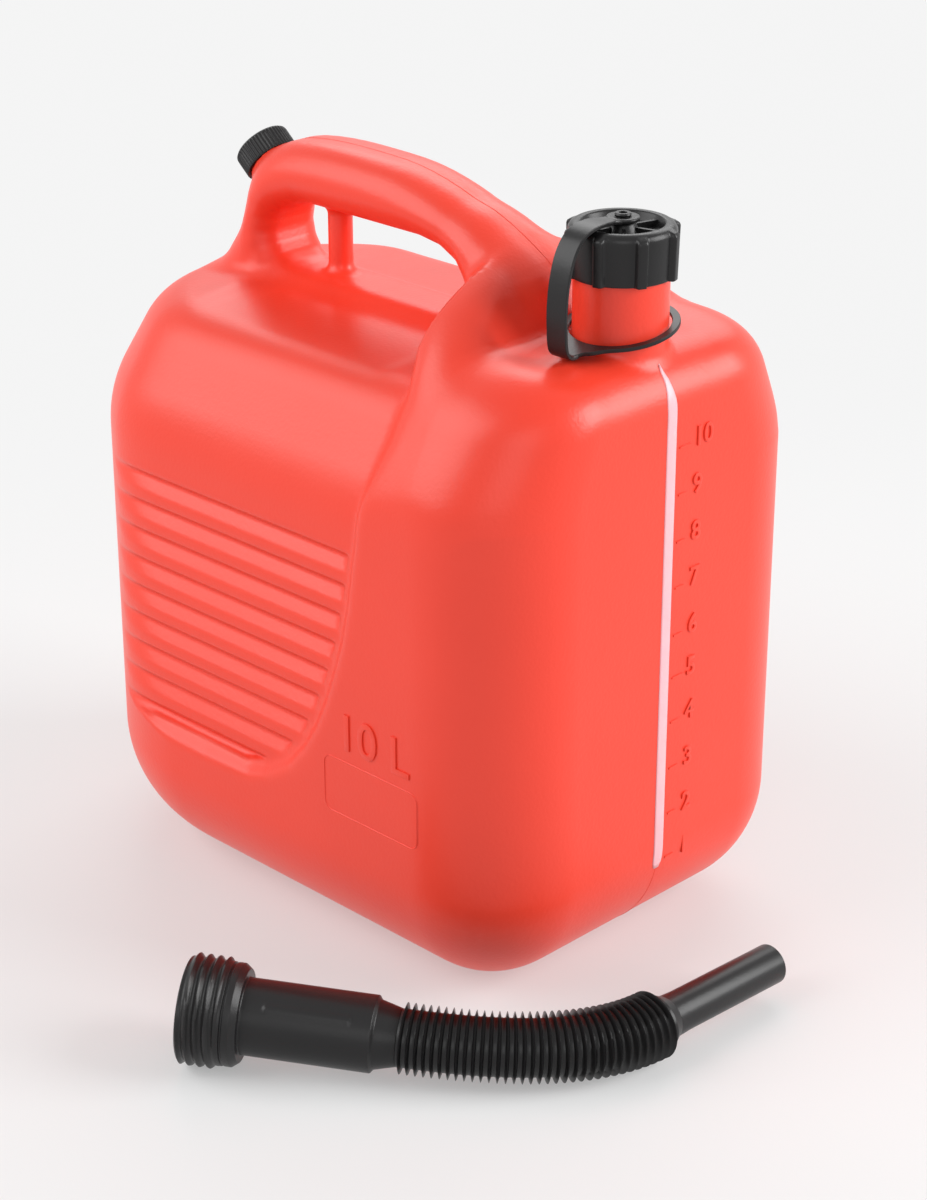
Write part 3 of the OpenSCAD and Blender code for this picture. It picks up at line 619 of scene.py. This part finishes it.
for i in range(web_count):
    web_points, web_faces = block(
        (stud_boss_r + 0.5, -web_half, cap_floor - 0.5), (web_reach, web_half, cap_floor + web_height))
    web_turn = around_neck @ Matrix.Rotation(math.radians(web_first + 360 * i / web_count), 4, "Z")
    cap_shapes.append(([tuple(web_turn @ Vector(p)) for p in web_points], web_faces))
black_plastic = moulded_plastic(
    "black_plastic", (0.012, 0.0115, 0.012), (0.008, 0.0077, 0.008), 0.31, 0.0012, 0.00012,
    specular=0.3)
screw_cap = new_piece("screw_cap", *join_shapes(cap_shapes), black_plastic, 50)
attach(screw_cap, "cap")
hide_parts("filler_cap")

# Strap ring
# The strap's lower end: a loose flat ring that hangs a little askew round the neck.
# It flares into the tab where the band begins, all one flexible black moulding.
ring_in, ring_out, ring_z, strap_t = 20.3, 23.6, 274.3, 1.6
tab_half, tab_reach, tab_span = 5.0, 31.5, 0.6
tab_flare, flare_span = 4.2, 0.2
ring_tilt = math.radians(9)
ring_place = Matrix.Translation((neck_x, 0, ring_z)) @ Matrix.Rotation(ring_tilt, 4, "X")
ring_sides = 144
ring_angles = [2 * math.pi * i / ring_sides for i in range(ring_sides)]
ring_reach = []
for angle in ring_angles:
    off = math.atan2(math.sin(angle + math.pi / 2), math.cos(angle + math.pi / 2))
    tab = min(tab_reach / max(math.cos(off), 0.1), tab_half / max(abs(math.sin(off)), 1e-3))
    flare = tab_flare * math.exp(-(max(abs(off) - flare_span, 0) / flare_span) ** 2)
    ring_reach.append(max(ring_out + flare, tab if abs(off) < tab_span else 0))
ring_points, ring_faces = [], []
for inset, height in [(0.25, -0.5), (0, -0.34), (0, 0.34), (0.25, 0.5)]:
    for angle, reach in zip(ring_angles, ring_reach):
        for r in (ring_in + inset, reach - inset):
            at = Vector((r * math.cos(angle), r * math.sin(angle), height * strap_t))
            ring_points.append(ring_place @ at)
for i in range(ring_sides):
    here, after = 2 * i, 2 * ((i + 1) % ring_sides)
    for layer in range(3):
        low, high = layer * ring_sides * 2, (layer + 1) * ring_sides * 2
        for edge in (0, 1):
            ring_faces.append((
                low + here + edge, low + after + edge, high + after + edge, high + here + edge))
    for low in (0, 3 * ring_sides * 2):
        ring_faces.append((low + here, low + after, low + after + 1, low + here + 1))
neck_ring = new_piece("neck_ring", ring_points, ring_faces, black_plastic, 35)
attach(neck_ring, "strap")
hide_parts("strap_ring")

# Strap band
# The thin flat band between ring and eyelet. It curls up from the tab, bows clear of the cap,
# and bends over the rim.
band_half, band_waist, waist_at, waist_span = 5.0, 1.2, 0.93, 0.06
band_way = [
    (-29.5, 269.4), (-33.0, 269.6), (-35.4, 272.5), (-36.2, 279.0), (-36.4, 288.0), (-35.4, 298.0),
    (-32.6, 308.0), (-28.2, 314.6), (-22.5, 317.6), (-15.5, 318.4), (-9.5, 317.9), (-5.6, 317.3)]
band_line = smooth_way(band_way, 6)
band_along = np.gradient(band_line, axis=0)
band_along /= np.linalg.norm(band_along, axis=1)[:, None]
band_section = [
    (-1, -0.3), (-0.95, -0.5), (0.95, -0.5), (1, -0.3), (1, 0.3), (0.95, 0.5), (-0.95, 0.5), (-1, 0.3)]
band_points = []
for n, ((y, z), (ay, az)) in enumerate(zip(band_line, band_along)):
    share = n / (len(band_line) - 1)
    half = band_half - band_waist * math.exp(-((share - waist_at) / waist_span) ** 2)
    for w, h in band_section:
        band_points.append((neck_x + w * half, y - az * h * strap_t, z + ay * h * strap_t))
band_faces = sweep_faces(len(band_line), len(band_section))
band = new_piece("band", band_points, band_faces, black_plastic, 35)
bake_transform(band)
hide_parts("strap_band")

# Strap eyelet
# The round end of the strap, snapped over the cap's hollow stud so that the cap can turn in it.
eyelet_r, eyelet_hole, eyelet_t = 6.6, 3.0, 1.8
eyelet_profile = rounded([
    (eyelet_hole, eyelet_z, 0.2), (eyelet_r, eyelet_z, 0.5), (eyelet_r, eyelet_z + eyelet_t, 0.6),
    (eyelet_hole, eyelet_z + eyelet_t, 0.3)], 4)
eyelet = new_piece("eyelet", *turned(eyelet_profile, 64, around_neck), black_plastic, 50)
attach(eyelet, "strap_end")
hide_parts("strap_eyelet")

# Vent thread
# The screw end of the small vent neck, blown with the shell at the slanted rear end of the handle.
vent_core, vent_crest, vent_bore, vent_root, vent_seat, vent_lead = 9.6, 10.5, 4.5, -2.0, 5.8, 3.0
at_vent = Matrix.Translation(Vector(vent_rim)) @ Matrix.Rotation(vent_slope - math.pi / 2, 4, "Y")


def vent_swell(angle, radius, height):
    if radius < vent_core - 0.1:
        return 0
    return (vent_crest - vent_core) * thread_ridge(angle, height, 0.4, vent_seat - 0.6, vent_lead)


vent_profile = filled(rounded([
    (vent_bore, vent_root, 0), (vent_core, vent_root, 0), (vent_core, vent_seat, 0.5),
    (vent_bore, vent_seat, 0.4)]), 0.4)
vent_thread = new_piece("vent_thread", *turned(vent_profile, 72, at_vent, vent_swell), red_plastic)
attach(vent_thread, "can")

# Vent gasket
# A small rubber ring in the roof of the vent cap.
vent_gasket_r, vent_gasket_low, vent_gasket_high = 9.5, 5.9, 7.7
vent_gasket_profile = washer(vent_bore, vent_gasket_r, vent_gasket_low, vent_gasket_high, 0.15)
vent_seal = new_piece("vent_seal_ring", *turned(vent_gasket_profile, 60, at_vent), seal_rubber)
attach(vent_seal, "vent_seal")
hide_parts("vent_gasket")

# Vent cap
# A small injected screw cap with fine knurling round its skirt and a flat top with a rounded edge.
vent_cap_r, vent_cap_in, vent_cap_h, vent_cap_roof = 12.6, 11.1, 10.0, 2.2
vent_dish_r, vent_dish_depth = 9.6, 0.4
knurl_count, knurl_depth, knurl_stop = 48, 0.45, 1.2


def knurl_swell(angle, radius, height):
    if radius < vent_cap_r - 0.2 or height > vent_cap_h - knurl_stop:
        return 0
    return -knurl_depth * (0.5 - 0.5 * math.cos(knurl_count * angle))


vent_cap_profile = filled(rounded([
    (vent_cap_in, 0, 0.2), (vent_cap_r, 0, 0.3), (vent_cap_r, vent_cap_h, 1.5),
    (vent_dish_r, vent_cap_h, 0.3), (vent_dish_r - 0.6, vent_cap_h - vent_dish_depth, 0.3),
    (0, vent_cap_h - vent_dish_depth, 0), (0, vent_cap_h - vent_cap_roof, 0),
    (vent_cap_in, vent_cap_h - vent_cap_roof, 0.4)], 4), 1.6)
vent_screw_cap = new_piece(
    "vent_screw_cap", *turned(vent_cap_profile, knurl_count * 6, at_vent, knurl_swell), black_plastic, 50)
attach(vent_screw_cap, "vent")
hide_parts("vent_cap")

# Spout collar and tube
# The wide end of the pouring spout, blown in black plastic: its screw thread shows outside as ridges,
# a lip closes it, and a straight tube with a thin parting line leads to the bellows.
spout_start = Vector((62.5, -187.5, 22.6))
spout_heading, spout_dip = math.radians(35.5), math.radians(3.334)
stem_length, collar_length, tube_r, root_r, rib_r = 86.0, 24.0, 15.4, 11.5, 14.2
ridge_lead, ridge_r, ridge_root, ridge_end = 4.1, 22.3, 20.7, 16.4
line_low, line_high, line_half, line_proud, dot_r = 34.0, 67.0, 0.4, 0.5, 1.2
line_tilt = math.radians(50)
tube_sides = 96
spout_way = Vector((
    math.cos(spout_heading) * math.cos(spout_dip), math.sin(spout_heading) * math.cos(spout_dip),
    -math.sin(spout_dip)))
at_spout = Matrix.Translation(spout_start) @ spout_way.to_track_quat("Z", "Y").to_matrix().to_4x4()
line_side = at_spout.to_3x3().inverted() @ Vector((
    math.cos(line_tilt) * math.sin(spout_heading), -math.cos(line_tilt) * math.cos(spout_heading),
    math.sin(line_tilt)))
line_turn = math.atan2(line_side.y, line_side.x) / (2 * math.pi)
line_angle = round(line_turn * tube_sides) * 2 * math.pi / tube_sides


def ridge_swell(angle, radius, height):
    """The collar's screw ridges, and the tube's fine line between two dots."""
    if abs(radius - tube_r) < 0.05:
        off = tube_r * abs(math.atan2(math.sin(angle - line_angle), math.cos(angle - line_angle)))
        past = max(line_low - height, 0, height - line_high)
        on_line = off < line_half and past == 0
        return line_proud if on_line or math.hypot(off, past) < dot_r else 0
    if radius < ridge_root - 0.1 or height > ridge_end:
        return 0
    return (ridge_r - ridge_root) * thread_ridge(angle, height, 0.1, ridge_end, ridge_lead)


collar_profile = filled(rounded([
    (19.5, 0, 0.3), (ridge_root, 0, 0.4), (ridge_root, 17.6, 0.3), (20.0, 17.9, 0.1), (20.0, 18.5, 0.1),
    (20.6, 18.8, 0.3), (20.6, 21.4, 0.6), (18.6, collar_length, 0.5), (tube_r, collar_length, 0.6),
    (tube_r, 76, 0.4), (tube_r - 1.6, 77.2, 0.6), (root_r, stem_length, 0.3), (9.5, stem_length, 0),
    (12.6, 76, 0), (12.6, 17.4, 0.2), (18.5, 17.4, 0.1), (18.5, 15.5, 0.1), (19.5, 15.5, 0.1)]), 0.62)
collar = new_piece("collar", *turned(collar_profile, tube_sides, at_spout, ridge_swell), black_plastic, 50)
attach(collar, "spout")
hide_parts("spout_collar")

# Spout gasket
# The rubber ring at the bottom of the collar's socket.
spout_gasket_in, spout_gasket_out, spout_gasket_low, spout_gasket_high = 12.8, 18.3, 15.5, 17.3
spout_gasket_profile = washer(
    spout_gasket_in, spout_gasket_out, spout_gasket_low, spout_gasket_high, 0.2)
spout_seal = new_piece("spout_seal_ring", *turned(spout_gasket_profile, 72, at_spout), seal_rubber)
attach(spout_seal, "spout")
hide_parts("spout_gasket")

# Spout bellows
# The flexible middle of the spout: sharp-crested ribs blown in one piece with the tube, lying on the floor
# in a gentle bend.
rib_count, bellows_sides, bend_steps, bend_lead, bend_tail = 34, 48, 600, 50.0, 28.0
stem_end = np.array(spout_start + spout_way * stem_length)
nozzle_start = np.array([193.507, -55.729, 14.4])
nozzle_heading = math.radians(86.5)
nozzle_way = np.array([math.cos(nozzle_heading), math.sin(nozzle_heading), 0.0])
bend_t = np.linspace(0, 1, bend_steps)[:, None]
bend_a = stem_end + np.array(spout_way) * bend_lead
bend_b = nozzle_start - nozzle_way * bend_tail
bend_line = ((1 - bend_t) ** 3 * stem_end + 3 * (1 - bend_t) ** 2 * bend_t * bend_a
             + 3 * (1 - bend_t) * bend_t ** 2 * bend_b + bend_t ** 3 * nozzle_start)
bend_run = np.concatenate([[0], np.cumsum(np.linalg.norm(np.diff(bend_line, axis=0), axis=1))])
rib_profile = [(0.0, 0.0), (0.26, 0.08), (0.42, 0.8), (0.5, 1.0), (0.58, 0.8), (0.74, 0.08)]
rib_rings = [(i + u, h) for i in range(rib_count) for u, h in rib_profile] + [(rib_count, 0.0)]


def along_bend(run):
    """The point of the bellows' middle line at a run from the tube."""
    return np.array([np.interp(run, bend_run, bend_line[:, k]) for k in range(3)])


bellows_points = []
for station, height in rib_rings:
    run = bend_run[-1] * station / rib_count
    at, step = along_bend(run), along_bend(run + 0.5) - along_bend(run - 0.5)
    way = step / np.linalg.norm(step)
    across = np.cross(way, [0, 0, 1.0])
    across /= np.linalg.norm(across)
    above = np.cross(across, way)
    r = root_r + (rib_r - root_r) * height
    for a in np.linspace(0, 2 * math.pi, bellows_sides, endpoint=False):
        bellows_points.append(at + r * (math.cos(a) * across + math.sin(a) * above))
bellows_faces = sweep_faces(len(rib_rings), bellows_sides)
bellows = new_piece("bellows", bellows_points, bellows_faces, black_plastic, 60)
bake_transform(bellows)
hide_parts("spout_bellows")

# Spout nozzle
# The slim pouring end, a plain tube with a short cone where it leaves the bellows and a square cut end.
nozzle_r, nozzle_bore, nozzle_length = 8.5, 6.7, 68.0
nozzle_turn = Vector(nozzle_way).to_track_quat("Z", "Y").to_matrix().to_4x4()
at_nozzle = Matrix.Translation(Vector(nozzle_start)) @ nozzle_turn
nozzle_profile = rounded([
    (9.5, 0, 0), (root_r, 0, 0.2), (root_r, 1.6, 0.6), (nozzle_r + 0.4, 6.4, 1.5), (nozzle_r, 14, 0),
    (nozzle_r, nozzle_length, 0.7), (nozzle_bore, nozzle_length, 0.4), (nozzle_bore, 8, 0)], 4)
nozzle = new_piece("nozzle", *turned(nozzle_profile, 72, at_nozzle), black_plastic, 50)
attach(nozzle, "nozzle")
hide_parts("spout_nozzle")

# Lights, floor and backdrop
# A pale floor that fades into the white of the room, with broad softboxes to the left,
# right and back and a weak fill light near the camera.
floor_size, floor_tone, white_level, shade_level = 6.0, 0.72, 0.91, 0.32
floor_mesh = bpy.data.meshes.new("floor")
floor_mesh.from_pydata([(x, y, 0) for x, y in ((-1, -1), (1, -1), (1, 1), (-1, 1))], [], [(0, 1, 2, 3)])
floor_mesh.transform(Matrix.Scale(floor_size / 2, 4))
floor = bpy.data.objects.new("floor", floor_mesh)
scene.collection.objects.link(floor)
floor_paper = bpy.data.materials.new("floor_paper")
floor_paper.use_nodes = True
paper_nodes, paper_links = floor_paper.node_tree.nodes, floor_paper.node_tree.links
paper = paper_nodes["Principled BSDF"]
paper.inputs["Base Color"].default_value = (floor_tone, floor_tone, floor_tone, 1)
paper.inputs["Roughness"].default_value = 0.6
paper_place = paper_nodes.new("ShaderNodeTexCoord")
from_can = paper_nodes.new("ShaderNodeVectorMath")
from_can.operation = "LENGTH"
paper_links.new(paper_place.outputs["Object"], from_can.inputs["Vector"])
fade = paper_nodes.new("ShaderNodeMapRange")
fade.interpolation_type = "SMOOTHSTEP"
fade.inputs["From Min"].default_value = 0.2
fade.inputs["From Max"].default_value = 0.75
fade.inputs["To Min"].default_value = 0.38
paper_links.new(from_can.outputs["Value"], fade.inputs["Value"])
glow = paper_nodes.new("ShaderNodeEmission")
glow.inputs["Color"].default_value = (1, 1, 1, 1)
glow.inputs["Strength"].default_value = white_level
blank = paper_nodes.new("ShaderNodeMixShader")
paper_links.new(fade.outputs["Result"], blank.inputs["Fac"])
paper_links.new(paper.outputs["BSDF"], blank.inputs[1])
paper_links.new(glow.outputs["Emission"], blank.inputs[2])
paper_links.new(blank.outputs["Shader"], paper_nodes["Material Output"].inputs["Surface"])
floor_mesh.materials.append(floor_paper)

world = bpy.data.worlds.new("room")
world.use_nodes = True
scene.world = world
sky_nodes, sky_links = world.node_tree.nodes, world.node_tree.links
room = sky_nodes["Background"]
room.inputs["Color"].default_value = (1, 1, 1, 1)
seen = sky_nodes.new("ShaderNodeLightPath")
seen_any = seen.outputs["Is Camera Ray"]
for ray in ("Is Transmission Ray", "Is Glossy Ray"):
    either = sky_nodes.new("ShaderNodeMath")
    either.operation = "MAXIMUM"
    sky_links.new(seen_any, either.inputs[0])
    sky_links.new(seen.outputs[ray], either.inputs[1])
    seen_any = either.outputs["Value"]
level = sky_nodes.new("ShaderNodeMapRange")
level.inputs["To Min"].default_value = shade_level
level.inputs["To Max"].default_value = white_level
sky_links.new(seen_any, level.inputs["Value"])
sky_links.new(level.outputs["Result"], room.inputs["Strength"])


def softbox(name, place, aim, size, power):
    lamp = bpy.data.lights.new(name, "AREA")
    lamp.shape = "RECTANGLE"
    lamp.size, lamp.size_y = size
    lamp.energy = power
    box = bpy.data.objects.new(name, lamp)
    box.location = place
    box.rotation_euler = (Vector(aim) - Vector(place)).to_track_quat("-Z", "Y").to_euler()
    scene.collection.objects.link(box)


softbox("left_softbox", (-0.95, -1.4, 1.3), (0, 0, 0.15), (1.9, 1.5), 32)
softbox("right_softbox", (1.6, 1.1, 1.0), (0.05, 0, 0.15), (1.3, 1.3), 44)
softbox("back_softbox", (-0.9, 1.3, 1.5), (0, 0, 0.2), (1.8, 1.0), 15)
softbox("front_fill", (1.3, -1.3, 0.9), (0, 0, 0.15), (1.0, 1.0), 5)
